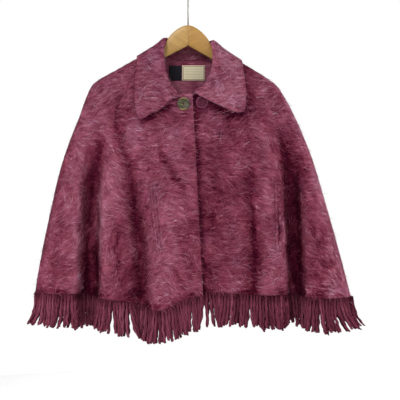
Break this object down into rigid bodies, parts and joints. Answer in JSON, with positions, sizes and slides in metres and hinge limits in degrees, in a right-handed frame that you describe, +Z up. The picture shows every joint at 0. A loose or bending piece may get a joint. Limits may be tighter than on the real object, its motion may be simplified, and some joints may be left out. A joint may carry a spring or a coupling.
{
  "type": "mohair cape on a wooden hanger",
  "caption": "Hip-length fringed mohair cape with a wide pointed collar, arm slits and one fastened button, hung on a plain wooden hanger with a wire hook.",
  "frame": {"origin": "inner top of the hanger's wire hook, where it bears on its rail", "axes": "+Z up the hook, -Y out of the garment's front, +X to the right as seen from the front"},
  "size_m": [0.7714, 0.1846, 0.85],
  "materials": {
    "mohair": "long brushed mohair nap",
    "fringe_wool": "looped boucle yarn",
    "horn": "polished, horn-like marbling",
    "plum_plastic": "satin",
    "dark_label": "woven satin, bare",
    "light_label": "woven satin, bare",
    "beech": "clear satin lacquer",
    "wire": "plated wire"
  },
  "bodies": {
    "root": {"hanger_right_arm": "beech", "hanger_left_arm": "beech", "hanger_hook": "wire", "back": "mohair", "right_front": "mohair", "right_front_slit_welt_inner": "mohair", "right_front_slit_welt_outer": "mohair", "left_front": "mohair", "left_front_slit_welt_inner": "mohair", "left_front_slit_welt_outer": "mohair", "collar": "mohair", "horn_button": "horn", "plum_button": "plum_plastic", "neck_label_dark": "dark_label", "neck_label_light": "light_label", "fringe_right_front": "fringe_wool", "fringe_left_front": "fringe_wool", "fringe_back": "fringe_wool"}
  },
  "joints": []
}
